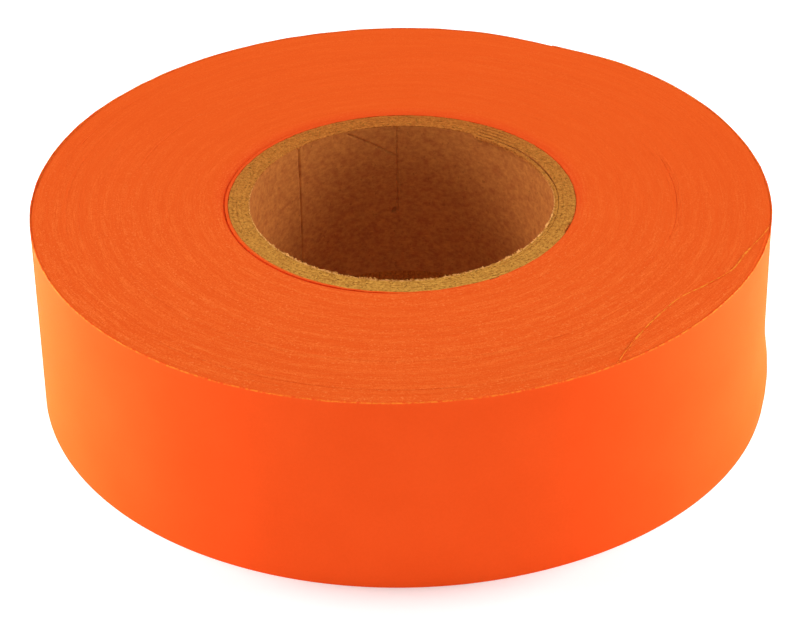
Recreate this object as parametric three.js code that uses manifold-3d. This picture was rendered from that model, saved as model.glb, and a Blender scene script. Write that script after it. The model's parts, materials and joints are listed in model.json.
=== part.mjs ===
// A roll of surveyor's flagging tape: a thin vinyl ribbon wound on a cardboard core.
//
// Everything lies round one vertical axis. The origin is on that axis in the plane of the lower face,
// +Z points up the axis, and angles are counted from +X towards +Y. Lengths are in millimetres.
// From the bore outwards the roll is made of five cardboard plies with staggered butt seams, the strip
// that holds the start of the ribbon, the first turn, the wound ribbon, the turn whose upper edge has
// fallen in over the face, the loose last turn and its free end. The film is far thinner than any solid
// here, so each stretch of it is a thicker stand-in.

import * as THREE from 'three';
import { mergeVertices } from 'three/addons/utils/BufferGeometryUtils.js';
import Module from 'manifold-3d';

// Driving dimensions.
const ROLL_RADIUS = 54.5;
const RIBBON_WIDTH = 30.16;
const CORE_BORE_RADIUS = 22.65;
const CORE_OUTER_RADIUS = 25.8;
const CORE_RECESS = 0.7;
const FACE_DISH = 0.6;

// The core.
const PLY_NAMES = [
  'core_liner_ply',
  'core_second_ply',
  'core_third_ply',
  'core_fourth_ply',
  'core_outer_ply',
];
const GLUE_LINE = 0.05;
const LINER_SEAM_ANGLE = 134;
const SEAM_STAGGER = 151;
const SEAM_OPENING = 0.8;

// The ribbon.
const FILM_STAND_IN = 0.4;
const CLEARANCE = 0.3;
const FIRST_TURN_START_ANGLE = 300;
const TURN_OPENING = 1.2;
const START_STRIP_ARC = 24;

// The folded turn, just inside the last one: its upper edge lies over the face on this stretch.
const FOLDED_TURN_START_ANGLE = 62;
const FOLD_START_ANGLE = -58;
const FOLD_END_ANGLE = -11;
const FOLD_REACH = 6.1;
const FOLD_DEEPEST_SHARE = 0.45;

// The last turn. The free end covers its last part, from the line that it peels from.
const PEEL_ANGLE = 20;
const FREE_END_ARC = 42;
const END_GAP = 0.45;

const SEGMENTS_PER_TURN = 96;

const PLY_COUNT = PLY_NAMES.length;
const PLY_THICKNESS = (CORE_OUTER_RADIUS - CORE_BORE_RADIUS - GLUE_LINE * (PLY_COUNT - 1)) / PLY_COUNT;
const START_STRIP_THICKNESS = 0.2;
const FIRST_TURN_RADIUS = CORE_OUTER_RADIUS + CLEARANCE;
const PACK_INNER_RADIUS = FIRST_TURN_RADIUS + FILM_STAND_IN + CLEARANCE;
const FOLDED_TURN_RADIUS = ROLL_RADIUS - FILM_STAND_IN - CLEARANCE;
const PACK_OUTER_RADIUS = FOLDED_TURN_RADIUS - FILM_STAND_IN - CLEARANCE;

const cardboard = new THREE.MeshStandardMaterial({ color: 0xb07a3c, roughness: 0.95, metalness: 0 });
const adhesiveStrip = new THREE.MeshStandardMaterial({ color: 0xd8cfae, roughness: 0.6, metalness: 0 });
const vinyl = new THREE.MeshStandardMaterial({ color: 0xf05a1e, roughness: 0.6, metalness: 0 });

const wasm = await Module();
wasm.setup();

function radians(degrees) {
  return THREE.MathUtils.degToRad(degrees);
}

function onCircle(radius, angle) {
  return new THREE.Vector2(radius * Math.cos(radians(angle)), radius * Math.sin(radians(angle)));
}

// Extrudes an outline in the XY plane from one height to another. An arc in the outline is divided
// into two chords for each curve segment.
function prism(outline, low, high, arcAngle) {
  const geometry = new THREE.ExtrudeGeometry(outline, {
    depth: high - low,
    bevelEnabled: false,
    curveSegments: Math.ceil(SEGMENTS_PER_TURN * arcAngle / 360 / 2),
  });
  geometry.translate(0, 0, low);
  return geometry;
}

// A stretch of a ring between two angles.
function ringStretch(innerRadius, outerRadius, low, high, startAngle, endAngle) {
  const start = radians(startAngle);
  const end = radians(endAngle);
  const outline = new THREE.Shape();
  outline.absarc(0, 0, outerRadius, start, end, false);
  outline.absarc(0, 0, innerRadius, end, start, true);
  outline.closePath();
  return prism(outline, low, high, endAngle - startAngle);
}

// The packed turns: a whole ring whose upper face sinks a little towards the core.
function woundRibbon() {
  const section = [
    new THREE.Vector2(PACK_INNER_RADIUS, 0),
    new THREE.Vector2(PACK_OUTER_RADIUS, 0),
    new THREE.Vector2(PACK_OUTER_RADIUS, RIBBON_WIDTH),
    new THREE.Vector2(PACK_INNER_RADIUS, RIBBON_WIDTH - FACE_DISH),
    new THREE.Vector2(PACK_INNER_RADIUS, 0),
  ];
  const geometry = new THREE.LatheGeometry(section, SEGMENTS_PER_TURN);
  geometry.rotateX(Math.PI / 2);
  return geometry;
}

function toSolid(geometry) {
  const positions = geometry.clone();
  positions.deleteAttribute('normal');
  positions.deleteAttribute('uv');
  const merged = mergeVertices(positions, 1e-5);
  return new wasm.Manifold(new wasm.Mesh({
    numProp: 3,
    vertProperties: new Float32Array(merged.attributes.position.array),
    triVerts: new Uint32Array(merged.index.array),
  }));
}

function toGeometry(solid) {
  const mesh = solid.getMesh();
  const geometry = new THREE.BufferGeometry();
  geometry.setAttribute('position', new THREE.BufferAttribute(mesh.vertProperties, 3));
  geometry.setIndex(new THREE.BufferAttribute(mesh.triVerts, 1));
  geometry.computeVertexNormals();
  return geometry;
}

// One cardboard ply: a sheet bent into a ring, with its two edges meeting at a straight seam.
function corePly(index) {
  const innerRadius = CORE_BORE_RADIUS + index * (PLY_THICKNESS + GLUE_LINE);
  const seam = LINER_SEAM_ANGLE + index * SEAM_STAGGER;
  return ringStretch(
    innerRadius,
    innerRadius + PLY_THICKNESS,
    CORE_RECESS,
    RIBBON_WIDTH - CORE_RECESS,
    seam + SEAM_OPENING / 2,
    seam + 360 - SEAM_OPENING / 2,
  );
}

// The sticky strip on the core's outside that the first turn of the ribbon starts on.
function startStrip() {
  const innerRadius = CORE_OUTER_RADIUS + GLUE_LINE;
  return ringStretch(
    innerRadius,
    innerRadius + START_STRIP_THICKNESS,
    CORE_RECESS,
    RIBBON_WIDTH - CORE_RECESS,
    FIRST_TURN_START_ANGLE,
    FIRST_TURN_START_ANGLE + START_STRIP_ARC,
  );
}

function firstTurn() {
  return ringStretch(
    FIRST_TURN_RADIUS,
    FIRST_TURN_RADIUS + FILM_STAND_IN,
    0,
    RIBBON_WIDTH - FACE_DISH,
    FIRST_TURN_START_ANGLE + TURN_OPENING,
    FIRST_TURN_START_ANGLE + 360,
  );
}

// The crescent of film that lies on the face: its outer side follows the rim, its inner side is a
// curve that runs deepest a little before the middle.
function foldedCrescent(low, high) {
  const deepestAngle = FOLD_START_ANGLE + FOLD_DEEPEST_SHARE * (FOLD_END_ANGLE - FOLD_START_ANGLE);
  const rimStart = onCircle(FOLDED_TURN_RADIUS - FILM_STAND_IN, FOLD_START_ANGLE);
  const rimEnd = onCircle(FOLDED_TURN_RADIUS - FILM_STAND_IN, FOLD_END_ANGLE);
  const deepest = onCircle(ROLL_RADIUS - FOLD_REACH, deepestAngle);
  const outline = new THREE.Shape();
  outline.absarc(0, 0, FOLDED_TURN_RADIUS, radians(FOLD_START_ANGLE), radians(FOLD_END_ANGLE), false);
  outline.lineTo(rimEnd.x, rimEnd.y);
  outline.splineThru([deepest, rimStart]);
  outline.closePath();
  return prism(outline, low, high, FOLD_END_ANGLE - FOLD_START_ANGLE);
}

// The folded turn: a whole turn round the pack, with the riser and the crescent of its fallen edge.
function foldedTurn() {
  const innerRadius = FOLDED_TURN_RADIUS - FILM_STAND_IN;
  const wall = ringStretch(
    innerRadius,
    FOLDED_TURN_RADIUS,
    0,
    RIBBON_WIDTH,
    FOLDED_TURN_START_ANGLE,
    FOLDED_TURN_START_ANGLE + 360 - TURN_OPENING,
  );
  const crescentLow = RIBBON_WIDTH + CLEARANCE;
  const crescentHigh = crescentLow + FILM_STAND_IN;
  const riser = ringStretch(
    innerRadius,
    FOLDED_TURN_RADIUS,
    RIBBON_WIDTH / 2,
    crescentHigh,
    FOLD_START_ANGLE,
    FOLD_END_ANGLE,
  );
  const crescent = foldedCrescent(crescentLow, crescentHigh);
  return toGeometry(toSolid(wall).add(toSolid(riser)).add(toSolid(crescent)));
}

// The last turn of the ribbon round the roll, up to the line where its free end begins.
function lastTurn() {
  return ringStretch(
    ROLL_RADIUS - FILM_STAND_IN,
    ROLL_RADIUS,
    0,
    RIBBON_WIDTH,
    PEEL_ANGLE + FREE_END_ARC - 360,
    PEEL_ANGLE,
  );
}

// The free end, which peels away from the roll about the line where it meets the last turn.
function freeEnd() {
  const gapAngle = THREE.MathUtils.radToDeg(END_GAP / ROLL_RADIUS);
  return ringStretch(
    ROLL_RADIUS - FILM_STAND_IN,
    ROLL_RADIUS,
    0,
    RIBBON_WIDTH,
    PEEL_ANGLE + gapAngle,
    PEEL_ANGLE + FREE_END_ARC - gapAngle,
  );
}

const roll = new THREE.Group();

function addPiece(name, geometry, material) {
  const mesh = new THREE.Mesh(geometry, material);
  mesh.name = name;
  roll.add(mesh);
}

for (let index = 0; index < PLY_COUNT; index += 1) {
  addPiece(PLY_NAMES[index], corePly(index), cardboard);
}
addPiece('start_strip', startStrip(), adhesiveStrip);
addPiece('first_turn', firstTurn(), vinyl);
addPiece('wound_ribbon', woundRibbon(), vinyl);
addPiece('folded_turn', foldedTurn(), vinyl);
addPiece('last_turn', lastTurn(), vinyl);
addPiece('free_end', freeEnd(), vinyl);

export default roll;
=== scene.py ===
"""A roll of surveyor's flagging tape: fluorescent vinyl ribbon on a cardboard core.

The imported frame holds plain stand-ins. Each of them is replaced here by fine meshes: the core as five
glued plies with rough cut ends and a fringe of torn fibres, the adhesive strip, the first turns, the wound
ribbon as four bands of turns whose edges stand a little high or low, the turn whose upper edge has fallen
in over the face, the loose last turn, and the free end that peels off. Lengths are in metres, and angles
in degrees from +X towards +Y. Every piece is a section that is swept round the roll's axis, so its points
are a grid: one row for each angle, one place in the row for each point of the section.
"""

import json
import math

import bpy
import numpy as np
from mathutils import Matrix, Vector


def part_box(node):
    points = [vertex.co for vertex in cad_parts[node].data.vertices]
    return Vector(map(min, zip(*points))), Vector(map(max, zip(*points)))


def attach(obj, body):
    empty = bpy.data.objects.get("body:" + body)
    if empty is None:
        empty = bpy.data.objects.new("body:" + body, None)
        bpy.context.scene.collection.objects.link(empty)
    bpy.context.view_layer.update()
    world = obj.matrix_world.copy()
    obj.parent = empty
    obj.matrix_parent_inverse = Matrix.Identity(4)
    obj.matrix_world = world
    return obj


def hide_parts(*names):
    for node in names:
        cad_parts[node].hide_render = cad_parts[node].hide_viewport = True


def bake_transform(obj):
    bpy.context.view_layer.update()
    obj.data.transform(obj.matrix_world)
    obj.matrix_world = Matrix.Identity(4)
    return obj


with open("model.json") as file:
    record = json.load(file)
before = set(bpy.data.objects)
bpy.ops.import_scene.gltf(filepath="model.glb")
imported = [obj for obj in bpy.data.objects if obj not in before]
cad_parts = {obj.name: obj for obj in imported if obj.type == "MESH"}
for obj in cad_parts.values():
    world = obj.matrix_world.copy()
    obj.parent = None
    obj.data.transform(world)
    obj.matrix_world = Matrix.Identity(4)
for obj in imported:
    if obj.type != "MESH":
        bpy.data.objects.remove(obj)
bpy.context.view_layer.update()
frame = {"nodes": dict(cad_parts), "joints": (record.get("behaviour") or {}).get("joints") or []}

MM = 0.001


def radial_span(node):
    """The inner and outer radius of a CAD node, from its vertices."""
    radii = [vertex.co.to_2d().length for vertex in frame["nodes"][node].data.vertices]
    return min(radii), max(radii)


# The core's real radii, as a share of its stand-in's.
CORE_SHARE = 0.996


def ply_span(node):
    """The real inner and outer radius of one of the core's plies."""
    inner, outer = radial_span(node)
    return CORE_SHARE * inner, CORE_SHARE * outer


# ---------------------------------------------------------------- sizes, from the frame

BORE_RADIUS = ply_span("core_liner_ply")[0]
CORE_RADIUS = ply_span("core_outer_ply")[1]
ROLL_RADIUS = radial_span("last_turn")[1]
FACE_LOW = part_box("wound_ribbon")[0].z
FACE_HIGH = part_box("wound_ribbon")[1].z
FACE_DISH = FACE_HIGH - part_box("first_turn")[1].z
CORE_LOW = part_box("core_liner_ply")[0].z
CORE_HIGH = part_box("core_liner_ply")[1].z
PEEL_LINE = Vector(next(j for j in frame["joints"] if j["name"] == "peel")["pos_m"])
PEEL_ANGLE = math.degrees(math.atan2(PEEL_LINE.y, PEEL_LINE.x))
# About where the free end stops. In the CAD a small gap comes off that.
FREE_END_ANGLE = 62.0

# The film, and the middle radius of each loose turn. Apart from the flare at the foot, which both share, the
# last turn only stands out from its radius and the folded turn only comes in, so that one can pass the other.
FILM = 0.08 * MM
TURN_PITCH = 0.12 * MM
PACK_GAP = 0.03 * MM
FIRST_TURNS_ROOM = 0.32 * MM
LAST_TURN_RADIUS = ROLL_RADIUS - FILM / 2
FOLDED_TURN_RADIUS = LAST_TURN_RADIUS - TURN_PITCH
PACK_RADIUS = FOLDED_TURN_RADIUS - FILM / 2 - PACK_GAP
PACK_BORE = CORE_RADIUS + FIRST_TURNS_ROOM
# The arc over which the free end climbs onto the last turn's start.
CLIMB_ARC = 8.0
# How far the core sits to the right of the axis, and how much lower its end is at the bore.
CORE_SHIFT = 0.2 * MM
WORN_RIM = 0.15 * MM
# How much wider the roll is at its foot.
FLARE = 0.15 * MM
# How much thicker slitting has left the film's upper edge, and the edge of the fallen stretch.
EDGE_BEAD = 0.08 * MM
FLAP_BEAD = 0.22 * MM
# The hollow round the free end: its depth, its half-width in degrees, and how far in it fades.
HOLLOW_DEPTH = 0.53 * MM
HOLLOW_HALF_WIDTH = 11.0
HOLLOW_FADE = 4 * MM
# Where the first turns stand off the pack, and how softly that begins and ends.
GAPE_ARC = (128.0, 258.0)
GAPE_SHOULDER = 50.0
# How far the last turn has crept up, at a few angles.
CREEP_ANGLES = (-150.0, -125.0, -100.0, -78.0, -55.0, -30.0, -12.0, 0.0)
CREEP_HEIGHTS = (0.0, 0.15 * MM, 0.38 * MM, 0.58 * MM, 0.72 * MM, 0.62 * MM, 0.10 * MM, 0.0)


# ---------------------------------------------------------------- noise and curves


def waves(rng, angles, lowest, highest, size):
    """Smooth ripple round the roll, as a sum of whole waves, with about the standard deviation given."""
    total = np.zeros(len(angles))
    counts = range(lowest, highest + 1)
    for count in counts:
        total += math.sqrt(2 / len(counts)) * np.cos(count * np.radians(angles) + rng.uniform(0, math.tau))
    return total * size


def streaks(rng, rows, columns, smoothness, size):
    """A grid of noise that closes on itself along the rows and is drawn out along them."""
    spectrum = np.fft.rfft(rng.normal(size=(rows, columns)), axis=0)
    counts = np.arange(spectrum.shape[0])[:, None]
    grid = np.fft.irfft(spectrum * np.exp(-((counts / smoothness) ** 2)), n=rows, axis=0)
    return grid / grid.std() * size


def wrapped(angles):
    """Angles brought to between -180 and 180 degrees."""
    return (angles + 180) % 360 - 180


def stretch(angles, start, end, soft):
    """1 between two angles and 0 outside them, with soft shoulders that many degrees wide.

    It holds for stretches of up to half a turn.
    """
    from_start = wrapped(angles - start)
    to_end = wrapped(end - angles)
    inside = np.clip(np.minimum(from_start, to_end) / soft + 0.5, 0, 1)
    return inside * inside * (3 - 2 * inside)


def smooth_line(places, knots, values):
    """A smooth curve through a few given knots, flat beyond the first and last."""
    knots, values = np.array(knots), np.array(values)
    slopes = np.gradient(values, knots)
    slot = np.clip(np.searchsorted(knots, places) - 1, 0, len(knots) - 2)
    width = knots[slot + 1] - knots[slot]
    t = np.clip((places - knots[slot]) / width, 0, 1)
    rise = slopes[slot] * width * t * (1 - t) ** 2 - slopes[slot + 1] * width * t * t * (1 - t)
    return values[slot] + (values[slot + 1] - values[slot]) * t * t * (3 - 2 * t) + rise


def face_level(radii):
    """The height of the ribbon's upper face, which sinks a little towards the core."""
    return FACE_HIGH - FACE_DISH * np.clip((PACK_RADIUS - radii) / (PACK_RADIUS - PACK_BORE), 0, 1)


def spread_out(heights):
    """How far the roll widens towards the face that it lies on."""
    down = (FACE_HIGH - heights) / (FACE_HIGH - FACE_LOW)
    return FLARE * down**2


def slump(angles, radii):
    """How far the outer turns' edges have sunk, in a soft hollow around the free end."""
    from_end = wrapped(angles - FREE_END_ANGLE)
    depth = HOLLOW_DEPTH * np.exp(-((from_end / HOLLOW_HALF_WIDTH) ** 2))[:, None]
    return depth * np.exp(-(ROLL_RADIUS - radii) / HOLLOW_FADE)


def crept_up(angles):
    """How far the loose last turn has crept up off the floor, at the right front."""
    return smooth_line(angles, CREEP_ANGLES, CREEP_HEIGHTS)[:, None]


def first_turn_gape(angles):
    """1 on the left, where the first turns stand off the pack, and 0 where they touch it."""
    return stretch(angles, *GAPE_ARC, GAPE_SHOULDER)[:, None]


def share_up(heights):
    """Heights as shares of the roll's, from 0 at its foot to 1 at its face."""
    return (heights - FACE_LOW) / (FACE_HIGH - FACE_LOW)


# ---------------------------------------------------------------- meshes

# Faces that meet at a sharper angle than this are shaded as an edge.
SHARP_ANGLE = 40


def turn_points(radii, heights, angles):
    """Points from grids of radii and heights, whose rows stand at the angles given."""
    around = np.radians(angles)[:, None]
    grids = np.broadcast_arrays(radii * np.cos(around), radii * np.sin(around), heights)
    return np.stack(grids, axis=2)


def swept_body(name, loops, closed_round, materials, numbers):
    """A closed body through one closed loop of points for each row.

    There is one material number for each place in the loop, which the walls that start there take. The
    caps of a body that doesn't close on itself take the last material.
    """
    rows, places, _ = loops.shape
    index = np.arange(rows * places).reshape(rows, places)
    onward = np.roll(index, -1, axis=0)
    walls = np.stack([index, onward, np.roll(onward, -1, axis=1), np.roll(index, -1, axis=1)], axis=-1)
    if not closed_round:
        walls = walls[:-1]
    wall_numbers = np.tile(numbers, len(walls))
    walls = walls.reshape(-1, 4)
    caps = [] if closed_round else [index[0][::-1].tolist(), index[-1].tolist()]
    points = loops.reshape(-1, 3)
    a, b, c, d = (points[walls[:, corner]] for corner in range(4))
    volume = np.sum(a * np.cross(b, c)) + np.sum(a * np.cross(c, d))
    faces = walls.tolist() + caps
    if volume < 0:
        faces = [face[::-1] for face in faces]
    mesh = bpy.data.meshes.new(name)
    mesh.from_pydata(points.tolist(), [], faces)
    for material in materials:
        mesh.materials.append(material)
    all_numbers = np.concatenate([wall_numbers, np.full(len(caps), len(materials) - 1)])
    mesh.polygons.foreach_set("material_index", all_numbers.astype(np.int32))
    mesh.polygons.foreach_set("use_smooth", np.ones(len(faces), bool))
    mesh.set_sharp_from_angle(angle=math.radians(SHARP_ANGLE))
    piece = bpy.data.objects.new(name, mesh)
    bpy.context.scene.collection.objects.link(piece)
    return piece


def thick_wall(outer, inner, heights, angles):
    """The loops of a wall between two radii: up its outside and down its inside."""
    outside = turn_points(outer, heights, angles)
    inside = turn_points(inner, heights, angles)
    return np.concatenate([outside, inside[:, ::-1]], axis=1)


# Places across the film, counted back from its upper edge, that stand close together at the bead, and the
# width of film that is kept free for them. They come closer still on film narrower than NARROW_FILM.
EDGE_STEPS = np.array([0.20, 0.12, 0.05, 0.0]) * MM
EDGE_STRIP = 0.25 * MM
NARROW_FILM = 0.4 * MM
# How far in from its edge a bead fades, and how its thickness varies: least, middle, scatter and most.
BEAD_WIDTH = 0.10 * MM
BEAD_LEAST, BEAD_MIDDLE, BEAD_SCATTER, BEAD_MOST = 0.1, 0.75, 0.4, 1.5


def out_to_edge(start, end, shares):
    """Places from start almost to end, at the shares given, then the close ones at the edge's bead."""
    way = end - start
    close = np.sign(way) * np.clip(np.abs(way) / NARROW_FILM, 0, 1)
    main = start + (way - close * EDGE_STRIP) * shares[None, :]
    return np.concatenate([main, end - close * EDGE_STEPS[None, :]], axis=1)


def film_sheet(name, middle, thickness, materials, upper_numbers=0):
    """A thin sheet round a middle surface, with the last material on its bead, its edges and its ends."""
    along = np.gradient(middle, axis=0)
    across = np.gradient(middle, axis=1)
    normal = np.cross(along, across)
    normal /= np.linalg.norm(normal, axis=2, keepdims=True)
    offset = normal * thickness[:, :, None] / 2
    loops = np.concatenate([middle + offset, (middle - offset)[:, ::-1]], axis=1)
    edge = len(materials) - 1
    upper = np.zeros(middle.shape[1], int) + upper_numbers
    upper[-len(EDGE_STEPS) :] = edge
    lower = np.zeros(middle.shape[1], int)
    lower[: len(EDGE_STEPS) - 1] = edge
    lower[-1] = edge
    return swept_body(name, loops, False, materials, np.concatenate([upper, lower]))


def beaded(rng, middle, smoothness, size=EDGE_BEAD):
    """The film's thickness, with the uneven bead that slitting leaves along its upper edge."""
    rows, places, _ = middle.shape
    steps = np.linalg.norm(np.diff(middle, axis=1), axis=2)
    from_edge = np.concatenate([np.cumsum(steps[:, ::-1], axis=1)[:, ::-1], np.zeros((rows, 1))], axis=1)
    unevenness = streaks(rng, rows, 1, smoothness, BEAD_SCATTER)
    bead = size * np.clip(BEAD_MIDDLE + unevenness, BEAD_LEAST, BEAD_MOST)
    return FILM + bead * np.exp(-((from_edge / BEAD_WIDTH) ** 2))


# ---------------------------------------------------------------- materials

# How much the matt film and the cardboard shine.
FILM_SPECULAR = 0.005
CARD_SPECULAR = 0.05


class Shader:
    """A material's node tree, built by short calls that each return an output socket."""

    def __init__(self, name):
        self.material = bpy.data.materials.new(name)
        self.material.use_nodes = True
        self.tree = self.material.node_tree
        self.surface = self.tree.nodes["Principled BSDF"]
        self.position = self.tree.nodes.new("ShaderNodeTexCoord").outputs["Object"]
        self.x, self.y, self.z = self.node("ShaderNodeSeparateXYZ", {0: self.position}).outputs

    def feed(self, socket, value):
        if isinstance(value, bpy.types.NodeSocket):
            self.tree.links.new(value, socket)
        else:
            socket.default_value = value

    def node(self, kind, inputs, **settings):
        made = self.tree.nodes.new(kind)
        for key, value in settings.items():
            setattr(made, key, value)
        for slot, value in inputs.items():
            self.feed(made.inputs[slot], value)
        return made

    def math(self, operation, first, second=0.0):
        return self.node("ShaderNodeMath", {0: first, 1: second}, operation=operation).outputs[0]

    def blend(self, first, share, second):
        """first * share + second * (1 - share)"""
        scaled = self.math("MULTIPLY", first, share)
        return self.math("ADD", scaled, self.math("MULTIPLY", second, 1 - share))

    def from_axis(self):
        """The distance from the roll's axis."""
        x_squared = self.math("MULTIPLY", self.x, self.x)
        y_squared = self.math("MULTIPLY", self.y, self.y)
        return self.math("SQRT", self.math("ADD", x_squared, y_squared))

    def round_the_axis(self, turn_scale, radial_scale, height_scale):
        """Coordinates that follow the turns: place round the axis, distance from it and height."""
        distance = self.from_axis()
        outwards = self.math("MULTIPLY", distance, radial_scale)
        upwards = self.math("MULTIPLY", self.z, height_scale)
        joined = {
            0: self.math("MULTIPLY", self.math("DIVIDE", self.x, distance), turn_scale),
            1: self.math("MULTIPLY", self.math("DIVIDE", self.y, distance), turn_scale),
            2: self.math("ADD", outwards, upwards),
        }
        return self.node("ShaderNodeCombineXYZ", joined).outputs[0]

    def noise(self, vector, scale, detail=3.0, roughness=0.55):
        inputs = {"Vector": vector, "Scale": scale, "Detail": detail, "Roughness": roughness}
        return self.node("ShaderNodeTexNoise", inputs).outputs["Fac"]

    def spread(self, value, low, high, to_low, to_high):
        inputs = {"Value": value, "From Min": low, "From Max": high, "To Min": to_low, "To Max": to_high}
        return self.node("ShaderNodeMapRange", inputs).outputs["Result"]

    def mix(self, share, first, second):
        made = self.node("ShaderNodeMix", {}, data_type="RGBA")
        self.feed(made.inputs["Factor"], share)
        self.feed(made.inputs["A"], first)
        self.feed(made.inputs["B"], second)
        return made.outputs["Result"]

    def bump(self, height, strength, distance, under=None):
        inputs = {"Height": height, "Strength": strength, "Distance": distance}
        if under is not None:
            inputs["Normal"] = under
        return self.node("ShaderNodeBump", inputs).outputs["Normal"]

    def finish(self, colour, roughness, specular, normal):
        self.feed(self.surface.inputs["Base Color"], colour)
        self.feed(self.surface.inputs["Roughness"], roughness)
        self.surface.inputs["Specular IOR Level"].default_value = specular
        self.feed(self.surface.inputs["Normal"], normal)
        return self.material


def orange_film():
    """The flat side of the vinyl film: fluorescent orange, matt, with faint stretch marks across it."""
    shader = Shader("orange_film")
    marks = shader.noise(shader.round_the_axis(900.0, 0.0, 180.0), 1.0, 2.0)
    grain = shader.noise(shader.position, 2600.0, 4.0)
    cloud = shader.noise(shader.position, 90.0, 3.0)
    tint = shader.spread(shader.blend(cloud, 0.6, grain), 0.35, 0.65, 0.0, 1.0)
    colour = shader.mix(tint, (0.85, 0.079, 0.0112, 1), (0.89, 0.087, 0.0132, 1))
    roughness = shader.spread(grain, 0.3, 0.7, 0.55, 0.68)
    normal = shader.bump(marks, 0.08, 0.04 * MM)
    normal = shader.bump(grain, 0.10, 0.02 * MM, normal)
    return shader.finish(colour, roughness, FILM_SPECULAR, normal)


def edge_with_painted_light(name, dull, bright):
    """The slit edge of a single film, with a painted glow: patches painted brighter, standing in for the
    light that the dye traps coming out of the edge.
    """
    shader = Shader(name)
    grain = shader.noise(shader.position, 2600.0, 3.0, 0.6)
    stretches = shader.noise(shader.position, 1300.0, 3.0)
    tint = shader.spread(shader.blend(stretches, 0.65, grain), 0.42, 0.58, 0.0, 1.0)
    colour = shader.mix(tint, dull, bright)
    return shader.finish(colour, 0.65, FILM_SPECULAR, shader.bump(grain, 0.2, 0.03 * MM))


# Rings of painted highlight on the turns' edges: one crest's radius, and the way to the next.
HIGHLIGHT_RING_CREST = 34.12 * MM
HIGHLIGHT_RING_SPACING = 2.35 * MM


def wound_edges():
    """The edges of the wound turns: random speckle, and painted highlights in short dashes where single edges
    catch the light.

    The painted highlights gather in rings, and brighter painted glints are scattered over them. Both are many
    in the front half of the roll and few at its back. Next to the core the turns are painted redder, as
    painted shade, most at the back.
    """
    shader = Shader("wound_edges")
    bands = shader.noise(shader.round_the_axis(2.2, 620.0, 0.0), 1.0, 4.0, 0.65)
    lines = shader.noise(shader.round_the_axis(9.0, 4200.0, 0.0), 1.0, 1.0, 0.5)
    dashes = shader.noise(shader.round_the_axis(48.0, 6500.0, 0.0), 1.0, 1.0, 0.5)
    speckle = shader.noise(shader.position, 5600.0, 1.0, 0.5)
    tint = shader.spread(shader.blend(bands, 0.5, speckle), 0.36, 0.64, 0.0, 1.0)
    colour = shader.mix(tint, (0.800, 0.0940, 0.0120, 1), (0.835, 0.1045, 0.0138, 1))
    # Painted shade: next to the core, and most at the back, the turns are painted a darker red.
    painted_shade_near_core = shader.spread(shader.from_axis(), PACK_BORE + 0.5 * MM, PACK_BORE + 2.2 * MM, 0.85, 0.0)
    painted_shade_to_back = shader.spread(shader.y, -0.15 * ROLL_RADIUS, 0.05 * ROLL_RADIUS, 0.25, 1.0)
    colour = shader.mix(shader.math("MULTIPLY", painted_shade_near_core, painted_shade_to_back), colour, (0.800, 0.076, 0.0118, 1))
    # Painted highlights: flecks and dashes painted brighter where single edges catch the light, in rings,
    # more in front.
    flecks = shader.blend(shader.blend(dashes, 0.45, lines), 0.55, speckle)
    painted_highlights = shader.spread(flecks, 0.45, 0.64, 0.0, 1.0)
    away = shader.math("ADD", shader.y, shader.math("MULTIPLY", shader.x, 0.15))
    highlights_to_front = shader.spread(away, -0.55 * ROLL_RADIUS, 0.35 * ROLL_RADIUS, 1.0, 0.26)
    outwards = shader.math("SUBTRACT", shader.from_axis(), HIGHLIGHT_RING_CREST)
    waver = shader.noise(shader.round_the_axis(1.6, 260.0, 0.0), 1.0, 2.0)
    phase = shader.math("MULTIPLY", outwards, math.tau / HIGHLIGHT_RING_SPACING)
    phase = shader.math("ADD", phase, shader.spread(waver, 0.3, 0.7, -1.9, 1.9))
    highlight_rings = shader.spread(shader.math("COSINE", phase), -1.0, 1.0, 0.50, 1.12)
    cloud = shader.spread(shader.noise(shader.position, 75.0, 3.0), 0.40, 0.62, 0.80, 1.0)
    share = shader.math("MULTIPLY", painted_highlights, shader.math("MULTIPLY", highlights_to_front, cloud))
    share = shader.math("MULTIPLY", share, highlight_rings)
    colour = shader.mix(share, colour, (0.93, 0.178, 0.031, 1))
    # Painted glints: bright sparks painted over the front half.
    painted_glints = shader.spread(shader.noise(shader.position, 3400.0, 0.0), 0.69, 0.79, 0.0, 0.55)
    colour = shader.mix(shader.math("MULTIPLY", painted_glints, highlights_to_front), colour, (0.95, 0.235, 0.055, 1))
    roughness = shader.spread(speckle, 0.3, 0.7, 0.62, 0.78)
    normal = shader.bump(bands, 0.18, 0.10 * MM)
    normal = shader.bump(lines, 0.12, 0.06 * MM, normal)
    normal = shader.bump(speckle, 0.10, 0.05 * MM, normal)
    return shader.finish(colour, roughness, FILM_SPECULAR, normal)


def cut_cardboard():
    """The cut ends of the plies: tan chipboard with torn fibres and dark flecks, redder to the back."""
    shader = Shader("cut_cardboard")
    fibres = shader.noise(shader.round_the_axis(90.0, 3400.0, 0.0), 1.0, 4.0, 0.7)
    grit = shader.noise(shader.position, 2100.0, 4.0, 0.75)
    flecks = shader.noise(shader.position, 2700.0, 2.0, 0.6)
    tint = shader.spread(shader.blend(fibres, 0.35, grit), 0.39, 0.61, 0.0, 1.0)
    to_back = shader.spread(shader.y, -CORE_RADIUS, CORE_RADIUS, 0.0, 1.0)
    dark = shader.mix(to_back, (0.42, 0.165, 0.022, 1), (0.36, 0.086, 0.011, 1))
    light = shader.mix(to_back, (0.72, 0.355, 0.062, 1), (0.59, 0.180, 0.027, 1))
    colour = shader.mix(tint, dark, light)
    colour = shader.mix(shader.spread(flecks, 0.58, 0.66, 0.0, 0.85), colour, (0.22, 0.080, 0.010, 1))
    normal = shader.bump(fibres, 0.5, 0.10 * MM)
    normal = shader.bump(grit, 0.6, 0.12 * MM, normal)
    return shader.finish(colour, 0.95, CARD_SPECULAR, normal)


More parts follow.
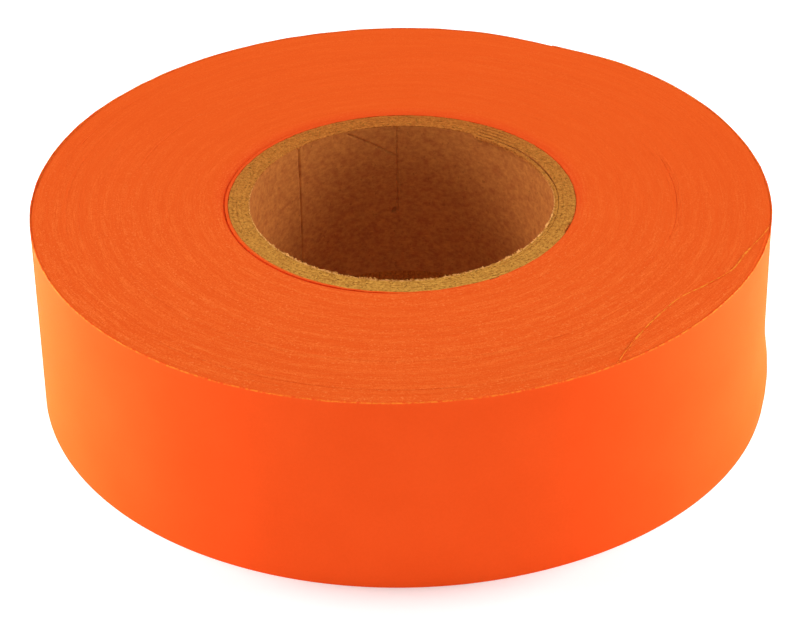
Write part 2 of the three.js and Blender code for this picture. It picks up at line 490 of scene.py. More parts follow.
def torn_fibres():
    """The ragged inner rim of the core's end, where the saw has pulled up pale fibres at the front."""
    shader = Shader("torn_fibres")
    tufts = shader.noise(shader.position, 1700.0, 4.0, 0.7)
    tint = shader.spread(tufts, 0.42, 0.56, 0.0, 1.0)
    colour = shader.mix(tint, (0.50, 0.195, 0.030, 1), (0.88, 0.45, 0.135, 1))
    to_back = shader.spread(shader.y, -0.25 * CORE_RADIUS, 0.35 * CORE_RADIUS, 0.0, 1.0)
    dull = shader.mix(tint, (0.34, 0.090, 0.012, 1), (0.60, 0.205, 0.036, 1))
    colour = shader.mix(to_back, colour, dull)
    return shader.finish(colour, 0.95, CARD_SPECULAR, shader.bump(tufts, 0.6, 0.12 * MM))


def bore_paper():
    """The brown paper of the bore, mottled, with fibres that lie round the wall."""
    shader = Shader("bore_paper")
    fibres = shader.noise(shader.round_the_axis(24.0, 0.0, 1500.0), 1.0, 5.0, 0.7)
    cloud = shader.noise(shader.position, 620.0, 5.0, 0.65)
    flecks = shader.noise(shader.position, 1700.0, 2.0)
    tint = shader.spread(shader.blend(fibres, 0.68, cloud), 0.38, 0.62, 0.0, 1.0)
    colour = shader.mix(tint, (0.42, 0.116, 0.026, 1), (0.60, 0.212, 0.044, 1))
    colour = shader.mix(shader.spread(flecks, 0.64, 0.72, 0.0, 0.45), colour, (0.22, 0.060, 0.012, 1))
    return shader.finish(colour, 0.88, CARD_SPECULAR, shader.bump(fibres, 0.25, 0.08 * MM))


def dried_adhesive():
    """The strip of dried adhesive that holds the ribbon's start."""
    shader = Shader("dried_adhesive")
    cloud = shader.noise(shader.position, 700.0, 4.0)
    tint = shader.spread(cloud, 0.3, 0.7, 0.0, 1.0)
    colour = shader.mix(tint, (0.60, 0.52, 0.34, 1), (0.74, 0.68, 0.50, 1))
    roughness = shader.spread(cloud, 0.3, 0.7, 0.4, 0.6)
    return shader.finish(colour, roughness, 0.4, shader.bump(cloud, 0.3, 0.05 * MM))


# How strongly the floor glows in the bore and round the roll, and how much more far from it, between two
# distances.
BORE_GLOW = 0.09
FLOOR_GLOW = 0.29
FAR_GLOW = 0.5
FAR_FLOOR = (0.3, 0.8)


def studio_floor():
    """A plain white light table, which keeps the floor white up to the roll and glows less in its bore."""
    shader = Shader("studio_floor")
    fibres = shader.noise(shader.position, 900.0, 3.0)
    colour = shader.mix(fibres, (0.89, 0.92, 0.92, 1), (0.92, 0.95, 0.95, 1))
    shader.surface.inputs["Emission Color"].default_value = (0.93, 1.0, 1.0, 1)
    distance = shader.from_axis()
    glow = shader.spread(distance, BORE_RADIUS, CORE_RADIUS, BORE_GLOW, FLOOR_GLOW)
    glow = shader.math("ADD", glow, shader.spread(distance, *FAR_FLOOR, 0.0, FAR_GLOW))
    shader.feed(shader.surface.inputs["Emission Strength"], glow)
    return shader.finish(colour, 0.95, 0.1, shader.bump(fibres, 0.05, 0.05 * MM))


# ---------------------------------------------------------------- the wound ribbon

TURN_STEPS = 512
BANDS = ("wound_turns_inner", "wound_turns_mid_inner", "wound_turns_mid_outer", "wound_turns_outer")
# Stretches of turns that stand off the face: share of the radius, width, angles and height.
PROUD_TURNS = (
    (0.735, 0.10 * MM, -35.0, 28.0, 0.05 * MM),
    (0.905, 0.12 * MM, 150.0, 196.0, 0.07 * MM),
    (0.868, 0.08 * MM, 176.0, 214.0, -0.05 * MM),
    (0.930, 0.10 * MM, 228.0, 282.0, 0.07 * MM),
    (0.800, 0.10 * MM, 205.0, 318.0, 0.05 * MM),
    (0.493, 0.25 * MM, -28.0, 45.0, 0.06 * MM),
    (0.545, 0.08 * MM, -70.0, -20.0, 0.05 * MM),
    (0.757, 0.12 * MM, -18.0, 16.0, 0.12 * MM),
    (0.747, 0.08 * MM, -18.0, 16.0, -0.10 * MM),
    (0.743, 0.10 * MM, 136.0, 168.0, 0.06 * MM),
    (0.945, 0.08 * MM, 138.0, 170.0, 0.05 * MM),
)
# How softly each of them begins and ends.
PROUD_SHOULDER = 14.0
# How far the edges dip beside the gape, and how far the inner turns have settled: depth and width.
GAPE_DIP = 0.24 * MM
GAPE_DIP_WIDTH = 0.30 * MM
SETTLED = 0.07 * MM
SETTLED_WIDTH = 1.5 * MM
# How far the edges' height wanders and jumps from turn to turn, and how uneven it is along one turn, in
# millimetres.
TURN_WANDER = 0.004
TURN_OFFSET = 0.005
TURN_UNEVENNESS = 0.006
# How far the outermost edges drop, and over what width.
RIM_DROP = 0.03 * MM
RIM_DROP_WIDTH = 0.30 * MM


def face_relief(rng, angles, radii):
    """How far each turn's edge lies from the level of the face, on a grid of angles by turns."""
    rows, turns = radii.shape
    share = radii / ROLL_RADIUS
    from_bore = radii - radii[:, :1]
    dip = GAPE_DIP * first_turn_gape(angles) * np.exp(-((from_bore / GAPE_DIP_WIDTH) ** 2))
    settle = SETTLED * np.exp(-from_bore / SETTLED_WIDTH)
    wander = np.cumsum(rng.normal(size=turns)) * TURN_WANDER * MM
    wander -= np.linspace(wander[0], wander[-1], turns)
    own = rng.normal(size=turns) * TURN_OFFSET * MM
    relief = wander[None, :] + own[None, :] - dip - settle
    relief += streaks(rng, rows, turns, 90.0, TURN_UNEVENNESS * MM)
    for place, width, start, end, rise in PROUD_TURNS:
        ridge = np.exp(-(((share - place) * ROLL_RADIUS / width) ** 2))
        relief += rise * ridge * stretch(angles, start, end, PROUD_SHOULDER)[:, None]
    shoulder = np.exp(-((PACK_RADIUS - radii) / RIM_DROP_WIDTH))
    return relief - RIM_DROP * shoulder - slump(angles, radii)


def wound_ribbon(rng, edges, film):
    """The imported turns, in four bands of turns one inside the next."""
    angles = np.arange(TURN_STEPS) * 360.0 / TURN_STEPS
    turns = round((PACK_RADIUS - PACK_BORE) / FILM)
    turns += -turns % len(BANDS)
    radii = np.tile(np.linspace(PACK_BORE, PACK_RADIUS, turns), (TURN_STEPS, 1))
    relief = face_relief(rng, angles, radii)
    upper = turn_points(radii, face_level(radii) + relief, angles)
    lower_radii = radii + FLARE * (radii - PACK_BORE) / (PACK_RADIUS - PACK_BORE)
    lower = turn_points(lower_radii, FACE_LOW + 0.5 * np.abs(relief), angles)
    per_band = turns // len(BANDS)
    for number, name in enumerate(BANDS):
        shared_turn = number < len(BANDS) - 1
        part = slice(number * per_band, (number + 1) * per_band + shared_turn)
        loops = np.concatenate([upper[:, part], lower[:, part][:, ::-1]], axis=1)
        half = loops.shape[1] // 2
        numbers = np.zeros(2 * half, int)
        numbers[[half - 1, 2 * half - 1]] = 1
        band = swept_body(name, loops, True, (edges, film), numbers)
        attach(band, "roll")
        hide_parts("wound_ribbon")


# ---------------------------------------------------------------- the thin stretches of ribbon

FIRST_TURN_ROWS = 480
FIRST_TURN_ARC = (302.0, 302.0 + 356.5)
# The first turns' gap to the core, how far they stop short of the face and of the roll's foot, their gap to
# the pack, and how much wider it is where they gape.
FIRST_TURN_GAP = 0.05 * MM
FIRST_TURN_SUNK = 0.05 * MM
FIRST_TURN_FOOT = 0.2 * MM
PACK_CLEARANCE = 0.01 * MM
GAPE_WIDTH = 0.03 * MM
STRIP_ROWS = 60
STRIP_ARC = (300.0, 324.0)
STRIP_THICKNESS = 0.035 * MM
# The strip's gap to the core, and how far it stops short of the core's foot and of its upper end.
STRIP_GAP = 0.008 * MM
STRIP_FROM_FOOT = 1.5 * MM
STRIP_FROM_END = 0.6 * MM
TURN_ROWS = 900
FREE_END_ROWS = 130
FOLDED_TURN_ARC = (FREE_END_ANGLE - 360.0, FREE_END_ANGLE - 1.2)
# The ripple in the last turn and the free end, and how far both stop short of the roll's foot.
FILM_RIPPLE = 0.012 * MM
OFF_FLOOR = 0.01 * MM


def first_turn(rng, film, edges):
    """The first turns, which cling to the core while the pack stands off them on the left."""
    angles = np.linspace(*FIRST_TURN_ARC, FIRST_TURN_ROWS)
    inner = CORE_RADIUS + FIRST_TURN_GAP + np.abs(waves(rng, angles, 3, 9, 0.006 * MM))[:, None]
    inner += CORE_SHIFT * np.cos(np.radians(angles))[:, None]
    outer = PACK_BORE - PACK_CLEARANCE - GAPE_WIDTH * first_turn_gape(angles)
    top = face_level(CORE_RADIUS) - FIRST_TURN_SUNK + waves(rng, angles, 5, 60, 0.02 * MM)[:, None]
    foot = FACE_LOW + FIRST_TURN_FOOT
    heights = foot + (top - foot) * np.linspace(0, 1, 9)[None, :]
    loops = thick_wall(outer, inner, heights, angles)
    numbers = np.zeros(loops.shape[1], int)
    numbers[heights.shape[1] - 1] = 1
    piece = swept_body("first_turn_ribbon", loops, False, (film, edges), numbers)
    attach(piece, "roll")
    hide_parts("first_turn")


def start_strip(rng, adhesive):
    """The strip of adhesive under the ribbon's start, thin enough to lie in the gap beside the core."""
    angles = np.linspace(*STRIP_ARC, STRIP_ROWS)
    inner = CORE_RADIUS + STRIP_GAP
    low = CORE_LOW + STRIP_FROM_FOOT
    high = CORE_HIGH - STRIP_FROM_END + waves(rng, angles, 8, 60, 0.12 * MM)[:, None]
    heights = low + (high - low) * np.linspace(0, 1, 12)[None, :]
    inner = inner + CORE_SHIFT * np.cos(np.radians(angles))[:, None]
    loops = thick_wall(inner + STRIP_THICKNESS, inner, heights, angles)
    piece = swept_body("start_strip_adhesive", loops, False, (adhesive,), np.zeros(loops.shape[1], int))
    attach(piece, "roll")
    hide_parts("start_strip")


# The fallen edge of the folded turn: how far it reaches in over the face, at a few angles.
FOLD_ANGLES = (-59.0, -54.5, -49.0, -43.0, -37.0, -31.5, -27.0, -20.0, -10.5)
FOLD_REACHES = (0.0, 2.6 * MM, 4.7 * MM, 5.9 * MM, 6.1 * MM, 4.6 * MM, 3.2 * MM, 2.3 * MM, 0.0)
# The radius of the bend at the upper edge, and how much more it is along the fold.
LEAST_BEND = 0.02 * MM
FOLD_BEND = 0.15 * MM
# How far the turn's edge lies below the face, and how far the fold is raised besides what the last turn has
# crept up.
FOLDED_TURN_SUNK = 0.03 * MM
FOLD_RAISED = 0.02 * MM
# The film over the bend is never narrower than this, and its puckers are about this high.
NARROWEST_FLAP = 0.01 * MM
PUCKER = 0.04 * MM
# How far above the face the middle of the fallen film lies, at its edge.
FLAP_CLEARANCE = 0.085 * MM


def folded_turn(rng, film, fallen_film, edge):
    """The turn inside the last one: up the wall, round the bend of the fold and in over the face."""
    angles = np.linspace(*FOLDED_TURN_ARC, TURN_ROWS)
    reach = smooth_line(angles, FOLD_ANGLES, FOLD_REACHES)[:, None]
    fallen = np.clip(reach / MM, 0, 1)
    bend = LEAST_BEND + FOLD_BEND * fallen
    raised = (FOLD_RAISED + crept_up(angles)) * fallen
    top = FACE_HIGH - FOLDED_TURN_SUNK + raised - slump(angles, FOLDED_TURN_RADIUS)
    wall_heights = FACE_LOW + (top - bend - FACE_LOW) * np.linspace(0, 1, 8)[None, :]
    wall_radii = FOLDED_TURN_RADIUS + spread_out(wall_heights)
    turn = np.linspace(0, math.pi / 2, 8)[None, 1:]
    bend_radii = FOLDED_TURN_RADIUS - bend * (1 - np.cos(turn))
    bend_heights = top - bend + bend * np.sin(turn)
    flap = np.maximum(reach - bend, NARROWEST_FLAP)
    flap_radii = out_to_edge(bend_radii[:, -1:], bend_radii[:, -1:] - flap, np.linspace(0, 1, 20)[1:])
    inwards = (bend_radii[:, -1:] - flap_radii) / flap
    drop = (top - face_level(flap_radii) - FLAP_CLEARANCE) * inwards * (2 - inwards)
    pucker = np.abs(streaks(rng, len(angles), flap_radii.shape[1], 40.0, PUCKER)) * fallen
    flap_heights = top - drop * fallen + pucker
    radii = np.concatenate([wall_radii, bend_radii, flap_radii], axis=1)
    heights = np.concatenate([wall_heights, bend_heights, flap_heights], axis=1)
    middle = turn_points(radii, heights, angles)
    on_flap = np.arange(middle.shape[1]) >= wall_radii.shape[1]
    materials = (film, fallen_film, edge)
    thickness = beaded(rng, middle, 60.0, EDGE_BEAD + (FLAP_BEAD - EDGE_BEAD) * fallen)
    piece = film_sheet("folded_turn_film", middle, thickness, materials, on_flap)
    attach(piece, "roll")
    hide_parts("folded_turn")


# The last turn's belly: where it lies round the roll, how softly it begins and ends, how far it stands
# out, its height and spread as shares of the roll's height, and how far the film leans out below it.
BELLY_ARC = (-48.0, 42.0)
BELLY_SHOULDER = 50.0
BELLY_SIZE = 0.74 * MM
BELLY_HEIGHT = 0.10
BELLY_SPREAD = 0.15
BELLY_LEAN = 0.18 * MM
# How far the last turn's edge stands above the face and how uneven it is, and the stretch at the left where
# it stands higher: its angles, how softly it begins and ends, and how much higher.
LAST_TURN_PROUD = 0.02 * MM
LAST_TURN_UNEVENNESS = 0.012 * MM
LEFT_RISE_ARC = (148.0, 184.0)
LEFT_RISE_SHOULDER = 12.0
LEFT_RISE = 0.12 * MM


def loose_radius(angles, heights):
    """How far the loose last turn stands out: it bellies towards its lower edge on the right."""
    up = share_up(heights)
    belly = BELLY_SIZE * np.exp(-(((up - BELLY_HEIGHT) / BELLY_SPREAD) ** 2)) + BELLY_LEAN * (1 - up)
    return spread_out(heights) + belly * stretch(angles, *BELLY_ARC, BELLY_SHOULDER)[:, None]


def last_turn(rng, film, edge):
    """The last turn, which only stands out from its radius, so that it can pass the roll as it unwinds."""
    angles = np.linspace(PEEL_ANGLE + CLIMB_ARC - 360.0, PEEL_ANGLE, TURN_ROWS)
    top = FACE_HIGH + LAST_TURN_PROUD + waves(rng, angles, 6, 90, LAST_TURN_UNEVENNESS)[:, None]
    risen = LEFT_RISE * stretch(angles, *LEFT_RISE_ARC, LEFT_RISE_SHOULDER)[:, None]
    top += risen - slump(angles, ROLL_RADIUS)
    top += crept_up(angles)
    rise = 1 - (1 - np.linspace(0, 1, 27)) ** 1.4
    heights = out_to_edge(FACE_LOW + OFF_FLOOR, top, rise)
    between_edges = np.sin(math.pi * np.clip(share_up(heights), 0, 1))
    ripple = np.abs(waves(rng, angles, 4, 11, FILM_RIPPLE))[:, None] * between_edges
    radii = LAST_TURN_RADIUS + ripple + loose_radius(angles, heights)
    middle = turn_points(radii, heights, angles)
    piece = film_sheet("last_turn_film", middle, beaded(rng, middle, 70.0), (film, edge))
    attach(piece, "outer_turn")
    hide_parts("last_turn")


# How far past FREE_END_ANGLE the cut edge lies, in degrees, and how far it has lifted.
CUT_EDGE_PAST = 0.6
CUT_EDGE_LIFT = 0.09 * MM


def free_end(rng, film, edge):
    """The free end, which climbs over the last turn's start and lies on it."""
    angles = np.linspace(PEEL_ANGLE, FREE_END_ANGLE + CUT_EDGE_PAST, FREE_END_ROWS)
    along = np.linspace(0, 1, len(angles))[:, None]
    top = FACE_HIGH - slump(angles, ROLL_RADIUS)
    heights = out_to_edge(FACE_LOW + OFF_FLOOR, top, np.linspace(0, 1, 28))
    lift = CUT_EDGE_LIFT * along**3 + np.abs(waves(rng, angles, 9, 30, FILM_RIPPLE))[:, None]
    climbed = TURN_PITCH * np.clip((angles - PEEL_ANGLE) / CLIMB_ARC, 0, 1)[:, None]
    radii = LAST_TURN_RADIUS + climbed + lift + loose_radius(angles, heights)
    middle = turn_points(radii, heights, angles)
    piece = film_sheet("free_end_film", middle, beaded(rng, middle, 12.0), (film, edge))
    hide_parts("free_end")
    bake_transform(piece)


# ---------------------------------------------------------------- the core

PLY_NODES = ("core_liner_ply", "core_second_ply", "core_third_ply", "core_fourth_ply", "core_outer_ply")
GLUE_LINE = 0.004 * MM
SEAM_GAP = 0.02 * MM
# A stand-in's seam is open by an angle between these two, and no other gap between its vertices is.
STAND_IN_SEAM = (0.5, 1.1)
PLY_ROWS = 800
FINE_ROW = 0.14
# How far the four inner plies lean in at the right back, where they have parted from one another.
LEAN_ANGLES = (5.0, 22.0, 38.0, 46.0, 52.0, 58.5, 61.0)
LEANS = (
    (0.0, 0.32 * MM, 0.40 * MM, 0.48 * MM, 0.50 * MM, 0.52 * MM, 0.0),
    (0.0, 0.02 * MM, 0.08 * MM, 0.30 * MM, 0.38 * MM, 0.40 * MM, 0.0),
    (0.0, 0.0, 0.02 * MM, 0.18 * MM, 0.25 * MM, 0.26 * MM, 0.0),
    (0.0, 0.0, 0.0, 0.08 * MM, 0.12 * MM, 0.13 * MM, 0.0),
)
# How far down from the core's end the plies have parted.
PARTED_DEPTH = 1.8 * MM
# The gap behind the liner's end, along the right side and the front.
LINER_GAP = 0.07 * MM
LINER_GAP_ARC = (-80.0, 45.0)
# The burr that the saw has pulled up along the bore, and how rough it has left the plies' ends.
BURR = 0.09 * MM
END_ROUGHNESS = 0.022 * MM
# How much higher or lower than the rest one ply's end lies at most, in millimetres.
PLY_STEP = 0.015
# Places across a ply's end, as shares of its thickness.
END_PLACES = np.array([0.02, 0.22, 0.5, 0.8, 0.98])
# How far below the end's rims the walls stop, and how much the foot's corners are cut.
RIM_STEP = 0.03 * MM
FOOT_CORNER = 0.05 * MM
# The chip in the outer ply: where it lies, how softly it begins and ends, its depth, and the share of that
# depth at each of the places across the end.
CHIP = (-23.0, -17.0)
CHIP_SHOULDER = 3.0
CHIP_DEPTH = 0.5 * MM
CHIP_SHARES = np.array([0.0, 0.1, 0.4, 0.8, 1.0])
# Scores in the liner, each from one angle and distance below the core's end to another, with its width
# and depth: a crease, the cut that runs to it, the nick at the crease's foot, the worn lips of the
# seam, and the hole where the parting of the plies ends.
SCORES = (
    ((91.6, 0.0), (91.6, 15.2 * MM), 0.12 * MM, 0.20 * MM),
    ((111.5, 0.65 * MM), (91.8, 5.4 * MM), 0.13 * MM, 0.28 * MM),
    ((92.9, 15.1 * MM), (93.2, 15.5 * MM), 0.26 * MM, 0.50 * MM),
    ((134.0, 0.2 * MM), (134.0, 5.5 * MM), 0.20 * MM, 0.26 * MM),
    ((134.0, 5.5 * MM), (134.0, 24.0 * MM), 0.17 * MM, 0.16 * MM),
    ((57.4, 0.5 * MM), (56.9, 1.0 * MM), 0.28 * MM, 0.55 * MM),
)
# Stretches where the liner's rows lie close together, to hold the scores.
FINE_STRETCHES = ((55.0, 63.0), (90.0, 113.0), (132.6, 135.4))


def ply_seam(node):
    """The middle of a ply's seam, from the gap between its vertices that is as wide as a seam."""
    angles = sorted(math.degrees(math.atan2(v.co.y, v.co.x)) for v in frame["nodes"][node].data.vertices)
    gaps = [(b - a, (a + b) / 2) for a, b in zip(angles, angles[1:] + [angles[0] + 360])]
    narrowest, widest = STAND_IN_SEAM
    return next(middle for gap, middle in gaps if narrowest < gap < widest)


def ply_angles(seam, radius, scored):
    """The angles of a ply's rows, closer together where the liner is scored."""
    half_gap = math.degrees(SEAM_GAP / 2 / radius)
    start, end = seam + half_gap, seam + 360 - half_gap
    angles = np.linspace(start, end, PLY_ROWS)
    if not scored:
        return angles
    for first, last in FINE_STRETCHES:
        fine = np.arange(first, last, FINE_ROW)
        fine = np.concatenate([fine, fine + 360])
        fine = fine[(fine > start) & (fine < end)]
        from_first = (angles - first) % 360
        angles = np.sort(np.concatenate([angles[from_first > last - first], fine]))
    return np.concatenate([[start], angles[(angles > start) & (angles < end)], [end]])


def score_depth(angles, heights):
    """The depth of the scores in the bore's wall, on a grid of angles by heights."""
    total = np.zeros((len(angles), heights.shape[1]))
    below = CORE_HIGH - heights
    for (start_angle, start_below), (end_angle, end_below), width, depth in SCORES:
        arc = BORE_RADIUS * np.radians(wrapped(angles - start_angle))[:, None]
        run, fall = BORE_RADIUS * math.radians(end_angle - start_angle), end_below - start_below
        share = np.clip((arc * run + (below - start_below) * fall) / (run**2 + fall**2), 0, 1)
        off = np.hypot(arc - run * share, below - start_below - fall * share)
        total = np.maximum(total, depth * np.exp(-((off / width) ** 2)))
    return total


def ply_wall_heights(fine):
    """Heights up a ply's wall: closer together near the end, and at the end of the liner's long score."""
    if not fine:
        below = np.array([9.0, 3.0, 1.5, 0.8, 0.4, 0.2]) * MM
        return np.concatenate([[CORE_LOW + FOOT_CORNER], CORE_HIGH - below])
    below = [np.arange(0.2, 6.0, 0.13), np.arange(6.5, 13.9, 0.9), np.arange(14.0, 16.1, 0.12)]
    below += [np.arange(17.0, 28.0, 1.6)]
    return CORE_HIGH - np.concatenate(below)[::-1] * MM


def ply_lean(number, angles):
    """How far a ply's end leans in towards the bore, where it has parted from the rest, as a minus."""
    if number >= len(LEANS):
        return np.zeros((len(angles), 1))
    lean = smooth_line(wrapped(angles), LEAN_ANGLES, LEANS[number])
    if number == 0:
        lean = lean + LINER_GAP * stretch(angles, *LINER_GAP_ARC, 25.0)
    return -lean[:, None]


def pulled_up(angles):
    """How strongly the saw has pulled up fibres along the bore, which is least at the left back."""
    return np.clip(0.75 - 0.6 * np.cos(np.radians(angles - 115.0)), 0.3, 1)[:, None]


def near_end(heights):
    """0 up to a little way below the core's end, rising to 1 at the end."""
    return np.clip((heights - CORE_HIGH) / PARTED_DEPTH + 1, 0, 1) ** 2


def core_ply(rng, number, paper, torn, end_grain):
    """One ply: smooth paper walls and a rough cut end, with the plies parting at the right back."""
    node = PLY_NODES[number]
    inner, outer = ply_span(node)
    is_liner = number == 0
    is_outer = number == len(PLY_NODES) - 1
    if not is_outer:
        outer = ply_span(PLY_NODES[number + 1])[0] - GLUE_LINE
    angles = ply_angles(ply_seam(node), inner, is_liner)
    rows = len(angles)
    lean = ply_lean(number, angles)

    # The end, from its inner rim to its outer one. The saw has pulled up a ragged burr along the bore.
    ragged = np.clip(streaks(rng, rows, 1, 170.0, 0.55) + 0.55, 0, 1.7) * is_liner
    burr = ragged * pulled_up(angles) * BURR
    end_radii = inner + lean + (outer - inner) * END_PLACES[None, :]
    end_level = CORE_HIGH + rng.uniform(-PLY_STEP, PLY_STEP) * MM
    end_heights = end_level + streaks(rng, rows, len(END_PLACES), 150.0, END_ROUGHNESS)
    end_heights -= WORN_RIM * (CORE_RADIUS - end_radii + lean) / (CORE_RADIUS - BORE_RADIUS)
    end_radii[:, :1] -= 0.5 * burr
    end_heights[:, :1] += burr
    end_heights[:, 1:2] += 0.3 * burr
    chip = CHIP_DEPTH * stretch(angles, *CHIP, CHIP_SHOULDER) * is_outer
    end_heights -= chip[:, None] * CHIP_SHARES[None, :]
    end_heights = np.maximum(end_heights, CORE_HIGH - 0.9 * CHIP_DEPTH)

    # The walls, which follow the end's two rims.
    up = np.tile(ply_wall_heights(is_liner), (rows, 1))
    down = np.tile(ply_wall_heights(False)[::-1], (rows, 1))
    rims = np.concatenate([end_heights[:, :1], end_heights[:, -1:]], axis=1) - RIM_STEP
    up = np.minimum(np.concatenate([up, rims[:, :1]], axis=1), rims[:, :1])
    down = np.minimum(np.concatenate([rims[:, 1:], down], axis=1), rims[:, 1:])
    inner_wall = inner + lean * near_end(up) - 0.5 * burr * near_end(up) ** 4
    if is_liner:
        inner_wall += score_depth(angles, up)
    outer_wall = outer + lean * near_end(down)
    foot_radii = np.tile([outer - FOOT_CORNER, inner + FOOT_CORNER], (rows, 1))
    radii = np.concatenate([inner_wall, end_radii, outer_wall, foot_radii], axis=1)
    heights = np.concatenate([up, end_heights, down, np.full((rows, 2), CORE_LOW)], axis=1)

    numbers = np.zeros(radii.shape[1], int)
    end_start = up.shape[1] - 1
    numbers[end_start : end_start + len(END_PLACES) + 1] = 2
    numbers[-3:] = 2
    if is_liner:
        numbers[end_start - 1 : end_start + 2] = 1
    loops = turn_points(radii, heights, angles) + np.array([CORE_SHIFT, 0, 0])
    piece = swept_body(f"{node}_board", loops, False, (paper, torn, end_grain), numbers)
    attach(piece, "roll")
    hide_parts(node)


FRINGE_ROWS = 2700


def torn_fringe(rng, fibres):
    """The pale fringe of fibres along the liner's inner rim, too fine for the liner's own rows."""
    rows = FRINGE_ROWS
    angles = np.arange(rows) * 360.0 / rows
    single_fibres = streaks(rng, rows, 1, 520.0, 0.45)
    clumps = streaks(rng, rows, 1, 60.0, 0.25)
    tufts = np.clip(single_fibres + clumps + 0.5, 0.05, 1.6) * pulled_up(angles)

    # The section goes from the fringe's foot in the bore up to its tip, and down behind it.
    rim = BORE_RADIUS + ply_lean(0, angles)
    foot = CORE_HIGH - WORN_RIM - 0.12 * MM
    tip = CORE_HIGH - WORN_RIM + (0.04 + 0.20 * tufts) * MM
    radii = rim + np.array([0.02, 0.0, 0.05, 0.14])[None, :] * MM
    radii[:, 1:3] -= 0.07 * tufts * MM
    base = np.full((rows, 1), foot)
    heights = np.concatenate([base - 0.2 * MM, tip, tip, base], axis=1)
    loops = turn_points(radii, heights, angles) + np.array([CORE_SHIFT, 0, 0])
    piece = swept_body("core_liner_ply_fringe", loops, True, (fibres,), np.zeros(loops.shape[1], int))
    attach(piece, "roll")
    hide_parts(PLY_NODES[0])


# ---------------------------------------------------------------- stage, lights and camera

FLOOR_SIZE = 6.0
# The tent's brightness at the horizon and overhead.
TENT_LOW = 0.85
TENT_HIGH = 0.08
# The boxes: name, azimuth, distance, height, size and strength. The low ones stay below the face.
SOFTBOXES = (
    ("low_right_box", 5.0, 0.14, 0.016, (0.08, 0.024), 1.13),
    ("low_left_box", 175.0, 0.14, 0.016, (0.08, 0.024), 1.30),
    ("high_right_box", 15.0, 0.80, 0.42, (0.50, 0.30), 0.73),
    ("high_left_box", 165.0, 0.80, 0.42, (0.50, 0.30), 0.73),
    ("front_fill", -90.0, 0.90, 0.12, (0.90, 0.20), 0.13),
)
# The view: its elevation, its distance, the point that it aims at, and the camera's turn on its own axis.
VIEW_ELEVATION = 32.8
VIEW_DISTANCE = 7.322 * ROLL_RADIUS
VIEW_AIM = Vector((-0.29 * MM, 0, FACE_HIGH - 0.371 * ROLL_RADIUS + 0.22 * MM))
VIEW_ROLL = -0.74
SENSOR_WIDTH = 36.0
FOCAL_LENGTH = 118.2


def stage(material):
    """The floor, which is staged and isn't a piece of the roll."""
    bpy.ops.mesh.primitive_plane_add(size=FLOOR_SIZE, location=(0, 0, 0))
    floor = bpy.context.object
    floor.name = "studio_floor"
    floor.data.materials.append(material)


def softbox(name, azimuth, distance, height, size, strength):
    """An area light that faces the roll, with the irradiance that it brings there, where 1 is white's."""
    data = bpy.data.lights.new(name, "AREA")
    data.shape = "RECTANGLE"
    data.size, data.size_y = size
    data.energy = strength * (math.pi * distance) ** 2
    lamp = bpy.data.objects.new(name, data)
    around = math.radians(azimuth)
    reach = math.sqrt(distance**2 - height**2)
    lamp.location = (reach * math.cos(around), reach * math.sin(around), height)
    to_roll = Vector((0, 0, min(height, FACE_HIGH / 2))) - lamp.location
    lamp.rotation_euler = to_roll.to_track_quat("-Z", "Y").to_euler()
    lamp.visible_camera = False
    bpy.context.scene.collection.objects.link(lamp)


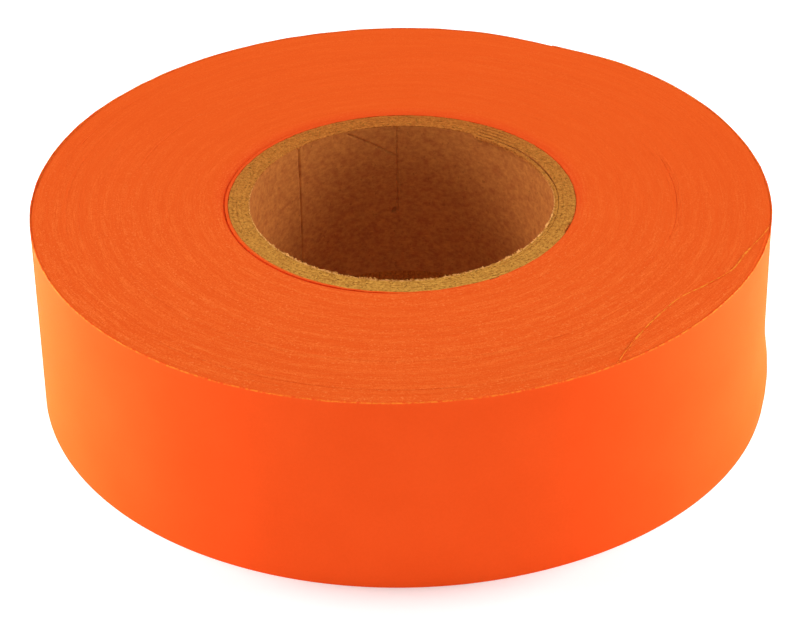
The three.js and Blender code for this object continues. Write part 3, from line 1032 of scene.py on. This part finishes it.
def studio_light():
    """Low boxes close to the roll's sides, high ones further off and a weak fill in front, in a pale tent.

    The low boxes stay below the level of the face, so that they light the wall alone. The tent is darker
    overhead.
    """
    world = bpy.data.worlds.new("studio")
    world.use_nodes = True
    tree = world.node_tree
    direction = tree.nodes.new("ShaderNodeTexCoord").outputs["Generated"]
    parts = tree.nodes.new("ShaderNodeSeparateXYZ")
    tree.links.new(direction, parts.inputs[0])
    fade = tree.nodes.new("ShaderNodeMapRange")
    tree.links.new(parts.outputs["Z"], fade.inputs["Value"])
    fade.inputs["To Min"].default_value = TENT_LOW
    fade.inputs["To Max"].default_value = TENT_HIGH
    background = tree.nodes["Background"]
    background.inputs["Color"].default_value = (1, 1, 1, 1)
    tree.links.new(fade.outputs["Result"], background.inputs["Strength"])
    bpy.context.scene.world = world
    for box in SOFTBOXES:
        softbox(*box)


def camera():
    """A long lens from the front, above the face, turned very slightly about its own axis."""
    elevation = math.radians(VIEW_ELEVATION)
    data = bpy.data.cameras.new("camera")
    data.sensor_width = SENSOR_WIDTH
    data.lens = FOCAL_LENGTH
    data.clip_start = 0.01
    eye = bpy.data.objects.new("camera", data)
    eye.location = VIEW_AIM + Vector((0, -math.cos(elevation), math.sin(elevation))) * VIEW_DISTANCE
    towards = (VIEW_AIM - eye.location).to_track_quat("-Z", "Y")
    turn = Matrix.Rotation(math.radians(VIEW_ROLL), 4, "Z")
    eye.rotation_euler = (towards.to_matrix().to_4x4() @ turn).to_euler()
    bpy.context.scene.collection.objects.link(eye)
    bpy.context.scene.camera = eye


# ---------------------------------------------------------------- making it

film_face = orange_film()
# The film's slit edges carry a painted glow: patches painted brighter than the film.
film_edge = edge_with_painted_light("edge_with_painted_light", (0.84, 0.080, 0.013, 1), (0.90, 0.195, 0.022, 1))
# The fallen flap's edge is painted brighter still, as a painted highlight where it faces the lamps behind.
flap_edge = edge_with_painted_light("flap_edge_painted_highlight", (0.87, 0.150, 0.019, 1), (0.92, 0.290, 0.031, 1))
turn_edges = wound_edges()
paper_wall = bore_paper()
board_end = cut_cardboard()
board_rim = torn_fibres()

camera()
studio_light()
stage(studio_floor())
wound_ribbon(np.random.default_rng(11), turn_edges, film_face)
first_turn(np.random.default_rng(12), film_face, turn_edges)
start_strip(np.random.default_rng(13), dried_adhesive())
folded_turn(np.random.default_rng(14), film_face, turn_edges, flap_edge)
last_turn(np.random.default_rng(15), film_face, film_edge)
free_end(np.random.default_rng(16), film_face, film_edge)
for ply_number in range(len(PLY_NODES)):
    core_ply(np.random.default_rng(20 + ply_number), ply_number, paper_wall, board_rim, board_end)
torn_fringe(np.random.default_rng(30), board_rim)

bpy.context.scene.view_settings.view_transform = "Standard"
